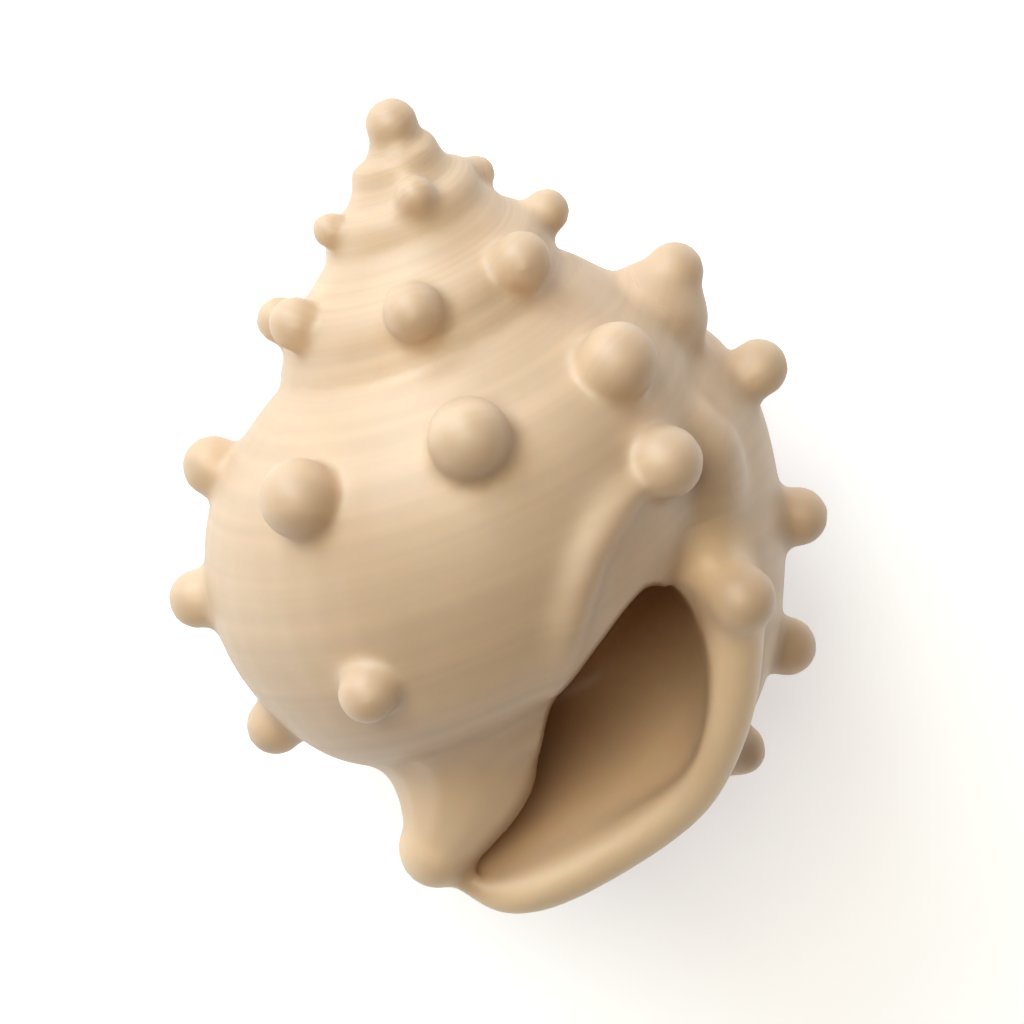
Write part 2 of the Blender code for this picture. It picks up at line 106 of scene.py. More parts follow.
# View, as fitted to the photograph
VIEW_TILT = 19.0
VIEW_LEAN = 15.0
PIXEL = 0.075                    # of the 1024 frame, in millimetres at the shell
FRAME_CENTRE = 512
APEX_PIXEL = (392, 125)          # middle of the apex ball
APEX_DROP = 2.3
SCALE_DEPTH = 4.0                # behind the apex, where the pixel's size is exact
LENS = 250.0
SENSOR = 36.0
NEAREST = 0.01                   # that the camera shows, in metres
HORIZON_LIGHT = 0.85             # the pale studio wall, low down all round
CEILING_LIGHT = 0.03
HORIZON_BAND = (0.06, 0.10)      # sine of the height where the wall starts to darken, and is dark
WORLD_COLOUR = (1.0, 0.97, 0.94)
KEY_DIRECTION = (-0.55, 0.62, 0.62)
KEY_SIZE = 0.5
KEY_POWER = 4.0
KEY_COLOUR = (0.76, 0.90, 1.0)
FILL_DIRECTION = (-0.2, 0.1, 1.0)
FILL_SIZE = 0.5
FILL_POWER = 3.0
FILL_COLOUR = (1.0, 0.935, 0.73)
LIGHT_DISTANCE = 0.7
LIGHT_AIM = Vector((0.0, 0.0, 0.02))

# Coil: an elliptical tube that winds down round the axis and grows at each turn
GROWTH = 1.8                     # size of a whorl against the whorl before it
FIRST_TURN = -3.6
LAST_TURN = 0.46
SETTLED_TURN = 0.0               # from here on the whorl no longer widens
SETTLING = 0.08
TUBE_CENTRE_RADIUS = 10.9
TUBE_CENTRE_DROP = 36.5
TUBE_HALF_WIDTH = 12.1
TUBE_HALF_HEIGHT = 16.5
LATE_RISE = 5.0                  # of the centre for each turn past the settled one
LATE_STRETCH = 12.0              # of the lower half for each turn past the settled one
LATE_SLIMMING = 1.8              # of the half width for each turn past the settled one
LATE_LOWERING = 2.0              # of the upper half for each turn past the settled one
BACK_LOWERING = 5.0              # of the upper half at the back of each whorl
BACK_ROUNDNESS = 1.3
RING_POINTS = 96
RINGS_PER_TURN = 44
FLARE_RINGS = 10
FLARE_TURN = 0.16
INNER_SIDE = -0.3                # of the half width: further in, the tube has no open skin
PROTOCONCH_RADIUS = 2.05
PROTOCONCH_DROP = 2.5
GROOVE_ANGLE = 15.0              # of the faint groove above the last suture, up from the section's middle
GROOVE_WIDTH = 6.0
GROOVE_DEPTH = 0.35
GROOVE_TURNS = (-1.6, -0.45)
SLOPE_STEP = 0.4                 # height over which the skin's slope is taken
# Where the section differs from a plain ellipse: angle up from its middle, width in degrees, size
SHOULDER_SLOPE = (56.0, 22.0, 1.0)
BELLY_BULGE = (-52.0, 28.0, 0.55)
BELLY_FADE = 2.0                 # share of it lost for each turn past the settled one
SIDE_BULGE = (-8.0, 24.0, 0.7)   # on the left side of each whorl, for a full-grown one
SIDE_SHARPNESS = 4
SETTLE_STEPS = 4
FRONT_STEPS = 12
SKIN_OVERRUN = 0.1               # turns past the last one where the tube still counts as skin

# Outer edge of the lip: right, front and down from the axis
LIP_OUTLINE = (
    (12.0, 12.5, -28.5),
    (16.2, 9.5, -35.5),
    (17.6, 7.8, -42.4),
    (16.4, 6.4, -49.8),
    (13.4, 5.0, -56.0),
    (8.6, 4.6, -60.2),
    (0.0, 4.6, -62.2),
    (-6.2, 4.6, -62.8),
    (-8.6, 4.4, -60.2),
    (-5.0, 4.0, -52.0),
    (0.0, 5.0, -44.0),
    (6.0, 9.0, -34.0),
)

# Rounded rim of the lip
LIP_RIM = (
    (12.9, 7.2, -35.6),
    (14.8, 8.8, -40.2),
    (15.4, 9.4, -43.0),
    (14.7, 9.3, -46.1),
    (13.3, 8.9, -50.4),
    (11.4, 8.4, -53.7),
    (8.9, 7.8, -57.1),
    (5.1, 7.4, -59.1),
    (0.9, 7.0, -60.6),
    (-2.4, 6.8, -61.5),
    (-5.8, 6.4, -62.0),
    (-8.2, 5.8, -61.0),
    (-10.3, 5.0, -59.2),
)
LIP_RADII = (2.4, 2.5, 2.5, 2.5, 2.4, 2.4, 2.3, 2.3, 2.3, 2.3, 2.2, 1.6, 1.1)

# Round swellings on the lip, as right, front and down, then radius
LIP_SWELLINGS = (
    ((16.1, 10.9, -42.0), 2.9),
    ((9.8, 8.2, -35.6), 3.4),
)

# Fill between the edge of the last whorl and the whorl in front of it
FILL = ((12.4, 4.5, -25.5), (14.9, 6.2, -29.5), (15.4, 6.6, -33.0), (14.2, 6.0, -38.0))
FILL_RADII = (1.5, 3.9, 4.2, 3.6)

# Fill behind the low end of the aperture
SILL = ((5.5, 3.4, -55.2), (1.5, 3.2, -57.3), (-2.5, 3.2, -58.8), (-5.5, 3.0, -59.6))
SILL_RADII = (2.2, 2.4, 2.4, 2.0)

# Fill between the foot of the body whorl and the lobe
FOOT_FILL = ((-9.5, 6.6, -46.0), (-4.5, 7.4, -46.8), (0.8, 6.6, -46.6))
FOOT_FILL_RADII = (4.6, 4.9, 4.4)

# Ridge from the last shoulder knob to the aperture: right and down, then radius
RIDGE = (
    (11.7, -29.0, 1.0),
    (9.3, -30.0, 1.8),
    (7.1, -31.4, 1.8),
    (5.4, -33.4, 1.8),
    (3.8, -36.2, 1.7),
    (2.2, -39.8, 1.5),
    (0.6, -44.0, 1.0),
)
RIDGE_LIFT = -0.3

# Lobe at the foot of the shell, and what joins it to the whorls behind and to the lip
LOBE = ((-3.5, 2.2, -43.0), (-6.6, 2.6, -48.6), (-7.8, 4.0, -54.4), (-10.9, 4.9, -57.4))
LOBE_RADII = (10.2, 8.9, 5.8, 3.1)
ROOT = ((3.0, -4.0, -46.0), (1.0, -2.5, -51.0), (-2.5, 0.5, -55.5), (-7.5, 2.6, -59.0))
ROOT_RADII = (9.5, 8.0, 5.6, 3.2)
LINK = ((-11.0, 3.4, -58.0), (-8.6, 2.4, -60.2), (-5.0, 2.6, -61.2))
LINK_RADII = (2.2, 2.3, 2.3)

# Edge of the aperture
APERTURE_OUTLINE = (
    (10.1, 10.6, -39.2),
    (12.2, 9.6, -42.3),
    (12.4, 8.6, -46.4),
    (11.7, 8.0, -50.2),
    (10.2, 7.4, -53.8),
    (8.3, 7.0, -56.0),
    (4.9, 6.8, -57.3),
    (1.5, 6.6, -58.3),
    (-2.3, 6.4, -59.3),
    (-6.1, 6.2, -60.2),
    (-9.0, 6.0, -60.4),
    (-6.5, 8.0, -58.3),
    (-4.1, 8.6, -56.3),
    (-2.3, 8.8, -53.8),
    (-1.3, 9.0, -50.3),
    (0.3, 9.4, -46.8),
    (2.6, 9.8, -44.8),
    (5.5, 10.4, -42.1),
    (8.2, 10.8, -39.8),
)

# Hollow behind the aperture: a bowl that is steep at the left edge and slopes gently at the low end
FUNNEL_REACH = Vector((0.0, -9.0, 3.1))
BOWL_DEPTH = 12.0
BOWL_SHIFT = Vector((-1.0, 0.0, 2.5))
BOWL_RINGS = 14
BOWL_ROUNDNESS = 0.62
GENTLE_SHARE = 0.22              # of the full steepness, at the low end
GENTLE_FOOT = -59.5
GENTLE_TOP = -50.5

KNOB_HEAD_HEIGHT = 0.3           # of the head's centre, in head radii
KNOB_NECK = ((-0.9, 0.86), (-0.4, 0.93), (0.0, 0.97))                # height and reach, in head radii
CREST_KNOB_NECK = ((-1.6, 2.0), (-0.6, 1.75), (-0.1, 1.35), (0.15, 1.12))
KNOB_HEAD_ANGLES = (2, 20, 38, 54, 70, 83)
KNOB_RADIUS = 2.35
SHOULDER_ANGLE = 39.0            # of the shoulder's middle, up from the section's middle
EARLY_TURN = -0.3
EARLY_SPAN = 2.2
EARLY_SLOPE = 10.0               # degrees lower for each turn before the early one, over its span
LATE_SLOPE = 32.0                # degrees lower for each turn past the settled one
# Knobs on the shoulders of the whorls: turn, height over the shoulder's middle, radius
SHOULDER_KNOBS = (
    (-2.564, -1.4, 1.5),
    (-2.26, 1.0, 1.6),
    (-2.046, 0.3, 1.4),
    (-1.74, -0.4, 1.5),
    (-1.508, -0.5, 1.8),
    (-1.362, -0.4, 2.3),
    (-1.22, -0.2, 2.35),
    (-1.054, 0.2, 2.1),
    (-0.978, -0.1, 1.85),
    (-0.85, -1.2, 1.9),
    (-0.76, 0.0, 1.95),
    (-0.66, 0.0, 2.0),
    (-0.37, -0.5, 3.1),
    (-0.246, -0.1, 3.2),
    (-0.126, -0.9, 3.1),
    (0.02, -0.3, 2.4),
    (0.17, 0.0, 2.35),
    (0.27, 0.0, 2.35),
    (0.36, 0.0, 2.35),
    (0.492, -1.0, 2.3),
)

# Knobs with places of their own: middle of the foot, way it points, radius and neck
CREST_KNOB = (Vector((17.2, 0.0, -19.8)), Vector((0.64, 0.0, 0.77)), 2.3, CREST_KNOB_NECK)
VARIX_KNOB = (Vector((12.8, -13.6, -29.0)), Vector((0.33, -0.92, 0.22)), 2.85, KNOB_NECK)
LOW_KNOB = (Vector((12.9, 0.5, -57.7)), Vector((0.8, 0.0, -0.6)), 2.1, CREST_KNOB_NECK)
BACK_TURNS = (0.01, 0.1, 0.2, 0.3, 0.4, 0.49)
FRONT_KNOB_TURN = -0.148
MIDDLE_ROW = ((0.0, -35.2), (0.3, -34.4), (0.49, -41.1))
LOWER_ROW = ((-0.148, -39.2), (0.0, -46.1), (0.49, -50.8))
SUPPORT_TURNS = (0.2, 0.3)       # the shell lies on these knobs of the middle and lower rows
WORN_DEPTH = 0.35                # of the flats on the four knobs that it lies on
KNOB_POINTS = 20
MELT_TOP = -22.0                 # the lip, ridge and lobe melt together below this height
MELT_LEFT = -9.0
MELT_BACK = -3.0
MELT_LENGTH = 4.0
MELT_GAP = 0.95                  # from a knob's middle to where the melting starts, in its radii
MELT_CLEARANCE = 1.8             # and over which it comes in
BALL_SEGMENTS = 24
BALL_RINGS = 16


def growth(turn):
    """Size of the tube at a turn, against its final size."""
    slack = SETTLING * math.log1p(math.exp((SETTLED_TURN - turn) / SETTLING))
    return GROWTH ** (SETTLED_TURN - slack)


def tube_section(turn):
    """Centre radius and height, half width, and height above and below the centre."""
    size = growth(turn)
    late = max(0.0, turn)
    back = max(0.0, math.sin(math.tau * turn)) ** BACK_ROUNDNESS
    return (
        TUBE_CENTRE_RADIUS * size,
        -TUBE_CENTRE_DROP * size + LATE_RISE * late,
        TUBE_HALF_WIDTH * size - LATE_SLIMMING * late,
        (TUBE_HALF_HEIGHT - BACK_LOWERING * back) * size - LATE_LOWERING * late,
        TUBE_HALF_HEIGHT * size + LATE_STRETCH * late,
    )


def around_axis(turn, radius, height):
    angle = math.radians(-90) - math.tau * turn
    return Vector((radius * math.sin(angle), -radius * math.cos(angle), height))


def bump(degrees, shape):
    middle, width, size = shape
    return size * math.exp(-((degrees - middle) / width) ** 2)


def inset(turn, degrees):
    """How far the section lies inside a plain ellipse: a flat shoulder over a full belly."""
    belly = bump(degrees, BELLY_BULGE) * max(0.0, 1 - BELLY_FADE * max(turn, 0.0))
    side = bump(degrees, SIDE_BULGE) * growth(turn) * max(0.0, math.cos(math.tau * turn)) ** SIDE_SHARPNESS
    return bump(degrees, SHOULDER_SLOPE) - belly - side


def skin_radius(turn, height):
    """Distance from the axis to the outermost whorl at this side and height."""
    radius = 0.0
    for lap in (-1, 0, 1):
        if turn + lap > LAST_TURN + SKIN_OVERRUN:
            continue
        centre_radius, centre, half_width, above, below = tube_section(turn + lap)
        reach = above if height > centre else below
        degrees = 0.0
        inwards = 0.0
        for _ in range(SETTLE_STEPS):
            inwards = inset(turn + lap, degrees)
            part = (height - centre) / (reach - inwards)
            degrees = math.degrees(math.asin(min(1.0, max(-1.0, part))))
        if abs(part) < 1:
            radius = max(radius, centre_radius + (half_width - inwards) * math.cos(math.radians(degrees)))
    return radius


def on_skin(turn, height):
    """A point on the whorls and the outward direction there."""
    step = SLOPE_STEP
    here = around_axis(turn, skin_radius(turn, height), height)
    higher = around_axis(turn, skin_radius(turn, height + step), height + step)
    lower = around_axis(turn, skin_radius(turn, height - step), height - step)
    sideways = around_axis(turn + 0.25, 1.0, 0.0)
    outward = (higher - lower).cross(sideways).normalized()
    if outward.dot(around_axis(turn, 1.0, 0.0)) < 0:
        outward.negate()
    return here, outward


def groove(turn, degrees):
    """Depth of the faint groove that runs along the whorl above the last suture."""
    first, last = GROOVE_TURNS
    if not first < turn < last:
        return 0.0
    share = math.sin(math.pi * (turn - first) / (last - first))
    return GROOVE_DEPTH * share * math.exp(-((degrees - GROOVE_ANGLE) / GROOVE_WIDTH) ** 2)


def tube_ring(turn):
    centre_radius, centre, half_width, above, below = tube_section(turn)
    ring = []
    for i in range(RING_POINTS):
        degrees = 90 - 360 * i / RING_POINTS
        angle = math.radians(degrees)
        reach = above if math.sin(angle) > 0 else below
        inwards = groove(turn, degrees) + inset(turn, degrees)
        ring.append(
            around_axis(
                turn,
                centre_radius + (half_width - inwards) * math.cos(angle),
                centre + (reach - inwards) * math.sin(angle),
            )
        )
    return ring


def smooth_loop(outline, count):
    """Evenly spread points on a smooth closed curve through an outline's points."""
    points = [Vector((x, -front, z)) for x, front, z in outline]
    fine = []
    steps = 12
    total = len(points)
    for i in range(total):
        p0, p1, p2, p3 = (points[(i + k - 1) % total] for k in range(4))
        for j in range(steps):
            t = j / steps
            fine.append(
                0.5 * (2 * p1 + (p2 - p0) * t + (2 * p0 - 5 * p1 + 4 * p2 - p3) * t * t
                       + (3 * p1 - p0 - 3 * p2 + p3) * t ** 3)
            )
    lengths = [0.0]
    for i in range(len(fine)):
        lengths.append(lengths[-1] + (fine[(i + 1) % len(fine)] - fine[i]).length)
    loop = []
    k = 0
    for i in range(count):
        want = lengths[-1] * i / count
        while lengths[k + 1] < want:
            k += 1
        part = (want - lengths[k]) / (lengths[k + 1] - lengths[k])
        loop.append(fine[k].lerp(fine[(k + 1) % len(fine)], part))
    return loop


def smoothstep(t):
    t = min(1.0, max(0.0, t))
    return t * t * (3 - 2 * t)


def loft(mesh, rings):
    """Closed skin over rings of points, all with the same count."""
    layers = [[mesh.verts.new(point * MM) for point in ring] for ring in rings]
    for lower, upper in zip(layers, layers[1:]):
        for i in range(len(lower)):
            j = (i + 1) % len(lower)
            mesh.faces.new((lower[i], lower[j], upper[j], upper[i]))
    mesh.faces.new(list(reversed(layers[0])))
    mesh.faces.new(layers[-1])


def object_from(mesh, name, collection):
    bmesh.ops.recalc_face_normals(mesh, faces=mesh.faces)
    data = bpy.data.meshes.new(name)
    mesh.to_mesh(data)
    mesh.free()
    item = bpy.data.objects.new(name, data)
    collection.objects.link(item)
    return item


def whorl_rings():
    count = round((LAST_TURN - FIRST_TURN) * RINGS_PER_TURN)
    rings = []
    for i in range(count + 1):
        turn = FIRST_TURN + (LAST_TURN - FIRST_TURN) * i / count
        rings.append(tube_ring(turn))
    lip = smooth_loop(LIP_OUTLINE, RING_POINTS)
    for i in range(1, FLARE_RINGS + 1):
        part = i / FLARE_RINGS
        straight = tube_ring(LAST_TURN + FLARE_TURN * part)
        share = smoothstep(part)
        rings.append([a.lerp(b, share) for a, b in zip(straight, lip)])
    return rings


def add_ball(mesh, centre, radius):
    bmesh.ops.create_uvsphere(
        mesh, u_segments=BALL_SEGMENTS, v_segments=BALL_RINGS, radius=radius * MM,
        matrix=Matrix.Translation(centre * MM),
    )


def add_knob(mesh, base, outward, radius, neck=KNOB_NECK):
    """A round head on a short neck that flares into the skin."""
    side = outward.orthogonal().normalized()
    other = outward.cross(side)
    rings = []
    profile = list(neck)
    for degrees in KNOB_HEAD_ANGLES:
        angle = math.radians(degrees)
        profile.append((KNOB_HEAD_HEIGHT + math.sin(angle), math.cos(angle)))
    for height, reach in profile:
        ring = []
        for i in range(KNOB_POINTS):
            angle = math.tau * i / KNOB_POINTS
            spoke = side * math.cos(angle) + other * math.sin(angle)
            ring.append(base + radius * (height * outward + reach * spoke))
        rings.append(ring)
    loft(mesh, rings)


def row_height(row, turn):
    """Height of a row of knobs at a turn, straight between the row's named places."""
    for (turn_a, height_a), (turn_b, height_b) in zip(row, row[1:]):
        if turn_a <= turn <= turn_b:
            return height_a + (height_b - height_a) * (turn - turn_a) / (turn_b - turn_a)
    raise ValueError(f"no knob height at turn {turn}")


def shoulder_height(turn):
    centre, above = tube_section(turn)[1], tube_section(turn)[3]
    early = max(-EARLY_SPAN, min(turn - EARLY_TURN, 0.0))
    rise = SHOULDER_ANGLE + EARLY_SLOPE * early - LATE_SLOPE * max(turn, 0.0)
    return centre + above * math.sin(math.radians(rise))


def knob_places():
    """Turn, height and radius of each knob."""
    places = []
    for turn, lift, radius in SHOULDER_KNOBS:
        places.append((turn, shoulder_height(turn) + lift, radius))
    for turn in BACK_TURNS:
        places.append((turn, row_height(MIDDLE_ROW, turn), KNOB_RADIUS))
        places.append((turn, row_height(LOWER_ROW, turn), KNOB_RADIUS))
    places.append((FRONT_KNOB_TURN, row_height(LOWER_ROW, FRONT_KNOB_TURN), KNOB_RADIUS))
    return places


def knob_tip(turn, height, radius):
    base, outward = on_skin(turn, height)
    return base + outward * radius * (KNOB_HEAD_HEIGHT + 1)


def add_tube(collection, name, points, radii):
    """A closed tube through points, with a radius at each."""
    curve = bpy.data.curves.new(name, "CURVE")
    curve.dimensions = "3D"
    curve.bevel_depth = MM
    curve.bevel_resolution = 4
    curve.use_fill_caps = True
    curve.resolution_u = 8
    spline = curve.splines.new("NURBS")
    spline.points.add(len(points) - 1)
    for target, point, radius in zip(spline.points, points, radii):
        target.co = (*(point * MM), 1.0)
        target.radius = radius
    spline.order_u = 3
    spline.use_endpoint_u = True
    guide = bpy.data.objects.new(name, curve)
    collection.objects.link(guide)
    bpy.context.view_layer.update()
    graph = bpy.context.evaluated_depsgraph_get()
    data = bpy.data.meshes.new_from_object(guide.evaluated_get(graph))
    bpy.data.objects.remove(guide)
    work = bmesh.new()
    work.from_mesh(data)
    bmesh.ops.remove_doubles(work, verts=work.verts, dist=1e-6)
    return object_from(work, name, collection)


def front_point(x, front, z):
    return Vector((x, -front, z))


def over_front(x, z, lift):
    """The point of the skin straight in front of (x, z), lifted towards the front."""
    front = 0.0
    for _ in range(FRONT_STEPS):
        turn = -(math.degrees(math.atan2(x, max(front, 1e-6))) + 90) / 360
        radius = skin_radius(turn, z)
        front = math.sqrt(max(radius * radius - x * x, 0.0))
    return front_point(x, front + lift, z)


def knob_heads():
    """Middle and radius of the head of every knob."""
    heads = [(base + way * radius * KNOB_HEAD_HEIGHT, radius)
             for base, way, radius, _ in (CREST_KNOB, VARIX_KNOB, LOW_KNOB)]
    for turn, height, radius in knob_places():
        base, outward = on_skin(turn, height)
        heads.append((base + outward * radius * KNOB_HEAD_HEIGHT, radius))
    return heads


def melt_share(point, heads):
    """How far the lip, ridge and lobe melt together here: a place in millimetres, upright frame."""
    share = smoothstep((MELT_TOP - point.z) / MELT_LENGTH)
    share *= smoothstep((point.x - MELT_LEFT) / MELT_LENGTH)
    share *= smoothstep((-point.y - MELT_BACK) / MELT_LENGTH)
    if share > 0:
        for middle, radius in heads:
            away = (point - middle).length - MELT_GAP * radius
            if away < MELT_CLEARANCE:
                share = min(share, smoothstep(away / MELT_CLEARANCE))
    return share


def build_outside(collection):
    body = bmesh.new()
    loft(body, whorl_rings())
    whorls = object_from(body, "whorls", collection)

    knobs = bmesh.new()
    add_ball(knobs, Vector((0, 0, -PROTOCONCH_DROP)), PROTOCONCH_RADIUS)
    for turn, height, radius in knob_places():
        base, outward = on_skin(turn, height)
        add_knob(knobs, base, outward, radius)
    for base, way, radius, neck in (CREST_KNOB, VARIX_KNOB, LOW_KNOB):
        add_knob(knobs, base, way, radius, neck)
    for place, radius in LIP_SWELLINGS:
        add_ball(knobs, front_point(*place), radius)
    knob_object = object_from(knobs, "knobs", collection)

    ridge_points = [over_front(x, z, RIDGE_LIFT) for x, z, _ in RIDGE]
    ridge = add_tube(collection, "ridge", ridge_points, [radius for _, _, radius in RIDGE])
    lip = add_tube(collection, "lip", [front_point(*place) for place in LIP_RIM], LIP_RADII)
    lobe = add_tube(collection, "lobe", [front_point(*place) for place in LOBE], LOBE_RADII)
    root = add_tube(collection, "root", [front_point(*place) for place in ROOT], ROOT_RADII)
    link = add_tube(collection, "link", [front_point(*place) for place in LINK], LINK_RADII)
    fill = add_tube(collection, "fill", [front_point(*place) for place in FILL], FILL_RADII)
    sill = add_tube(collection, "sill", [front_point(*place) for place in SILL], SILL_RADII)
    foot = add_tube(collection, "foot", [front_point(*place) for place in FOOT_FILL], FOOT_FILL_RADII)
    end = bmesh.new()
    add_ball(end, front_point(*LOBE[-1]), LOBE_RADII[-1])
    lobe_end = object_from(end, "lobe_end", collection)
    return [whorls, knob_object, ridge, lip, lobe, root, link, fill, sill, foot, lobe_end]


def cavity_rings():
    """Rings of the hollow, from the front of the aperture to the bottom of its bowl."""
    opening = smooth_loop(APERTURE_OUTLINE, RING_POINTS)
    middle = sum(opening, Vector()) / len(opening)
    rings = [[point + FUNNEL_REACH for point in opening]]
    for i in range(BOWL_RINGS):
        angle = math.pi / 2 * i / BOWL_RINGS
        size = math.cos(angle) ** BOWL_ROUNDNESS
        deep = math.sin(angle)
        ring = []
        for point in opening:
            steep = smoothstep((point.z - GENTLE_FOOT) / (GENTLE_TOP - GENTLE_FOOT))
            steep = GENTLE_SHARE + (1 - GENTLE_SHARE) * steep
            steep += (1 - steep) * deep ** 2
            spot = middle + (point - middle) * size + BOWL_SHIFT * deep
            ring.append(spot + Vector((0.0, BOWL_DEPTH * deep * steep, 0.0)))
        rings.append(ring)
    return rings


def rest_rotation():
    """Turns the shell onto the four knobs it lies on, with the apex towards +Y."""
    upper = [knob_tip(t, row_height(MIDDLE_ROW, t), KNOB_RADIUS) for t in SUPPORT_TURNS]
    lower = [knob_tip(t, row_height(LOWER_ROW, t), KNOB_RADIUS) for t in SUPPORT_TURNS]
    up = (upper[0] - lower[1]).cross(upper[1] - lower[0]).normalized()
    if up.y > 0:
        up.negate()
    side = Vector((0, 0, 1)).cross(up).normalized()
    ahead = up.cross(side)
    return Matrix((side, ahead, up)).to_4x4()


def evaluated_mesh(item):
    bpy.context.view_layer.update()
    graph = bpy.context.evaluated_depsgraph_get()
    return bpy.data.meshes.new_from_object(item.evaluated_get(graph))


def low_and_middle(mesh):
    """Lowest height, and the middle of the box in x and y."""
    xs = [vertex.co.x for vertex in mesh.vertices]
    ys = [vertex.co.y for vertex in mesh.vertices]
    low = min(vertex.co.z for vertex in mesh.vertices)
    return Vector(((min(xs) + max(xs)) / 2, (min(ys) + max(ys)) / 2, low))


def soft_share(height):
    """How far the blending moves the skin: less on the fine whorls near the apex."""
    return SPIRE_SOFTNESS + (1 - SPIRE_SOFTNESS) * smoothstep((SPIRE_FOOT - height) / SPIRE_LENGTH)


def fused(collection):
    """The whole shell in its upright frame, and the surface of its hollow."""
    joined = bmesh.new()
    for piece in build_outside(collection):
        joined.from_mesh(piece.data)
        bpy.data.objects.remove(piece)
    pile = object_from(joined, "pile", collection)
    fuse = pile.modifiers.new("fuse", "REMESH")
    fuse.mode = "VOXEL"
    fuse.voxel_size = VOXEL * MM
    rough = bpy.data.objects.new("rough_shell", evaluated_mesh(pile))
    collection.objects.link(rough)
    bpy.data.objects.remove(pile)
    soft = rough.vertex_groups.new(name="soft")
    for vertex in rough.data.vertices:
        soft.add([vertex.index], soft_share(vertex.co.z / MM), "REPLACE")
    melted = rough.vertex_groups.new(name="melted")
    heads = knob_heads()
    for vertex in rough.data.vertices:
        share = melt_share(vertex.co / MM, heads)
        if share > 0:
            melted.add([vertex.index], share, "REPLACE")
    blend = rough.modifiers.new("blend", "SMOOTH")
    blend.factor = SMOOTHING
    blend.iterations = BLEND_PASSES
    blend.vertex_group = "soft"
    melt = rough.modifiers.new("melt", "SMOOTH")
    melt.factor = SMOOTHING
    melt.iterations = MELT_PASSES
    melt.vertex_group = "melted"

    cavity_mesh = bmesh.new()
    loft(cavity_mesh, cavity_rings())
    cavity = object_from(cavity_mesh, "cavity", collection)
    clean = cavity.modifiers.new("clean", "REMESH")
    clean.mode = "VOXEL"
    clean.voxel_size = VOXEL * MM
    hollow = rough.modifiers.new("hollow", "BOOLEAN")
    hollow.operation = "DIFFERENCE"
    hollow.object = cavity
    again = rough.modifiers.new("even", "REMESH")
    again.mode = "VOXEL"
    again.voxel_size = VOXEL * MM
    edge = rough.modifiers.new("soften", "SMOOTH")
    edge.factor = SMOOTHING
    edge.iterations = EDGE_PASSES
    mesh = evaluated_mesh(rough)
    inner = BVHTree.FromObject(cavity, bpy.context.evaluated_depsgraph_get())
    bpy.data.objects.remove(rough)
    bpy.data.objects.remove(cavity)
    return mesh, inner


def coil_places(points):
    """Turn and section angle of each point, on the whorl whose skin it is nearest to."""
    angles = np.arctan2(points[:, 0], -points[:, 1])
    part = ((-math.pi / 2 - angles) / math.tau) % 1.0
    radii = np.hypot(points[:, 0], points[:, 1])
    turns = np.zeros(len(points))
    sections = np.zeros(len(points))
    nearest = np.full(len(points), np.inf)
    for lap in range(math.floor(FIRST_TURN), 1):
        turn = part + lap
        size = GROWTH ** (SETTLED_TURN - SETTLING * np.log1p(np.exp((SETTLED_TURN - turn) / SETTLING)))
        late = np.maximum(turn, 0.0)
        across = (radii - TUBE_CENTRE_RADIUS * size) / (TUBE_HALF_WIDTH * size)
        rise = points[:, 2] - (-TUBE_CENTRE_DROP * size + LATE_RISE * late)
        along = rise / (TUBE_HALF_HEIGHT * size + np.where(rise < 0, LATE_STRETCH * late, 0.0))
        off = np.abs(np.hypot(across, along) - 1.0)
        off[(turn > LAST_TURN + FLARE_TURN) | (across < INNER_SIDE)] = np.inf
        closer = off < nearest
        nearest[closer] = off[closer]
        turns[closer] = turn[closer]
        sections[closer] = np.arctan2(along, across)[closer]
    return turns, sections


def line_distance(point, line):
    """Distance from a point to a line of straight stretches."""
    least = math.inf
    for start, end in zip(line, line[1:]):
        stretch = end - start
        share = min(1.0, max(0.0, (point - start).dot(stretch) / stretch.length_squared))
        least = min(least, (point - start - stretch * share).length)
    return least


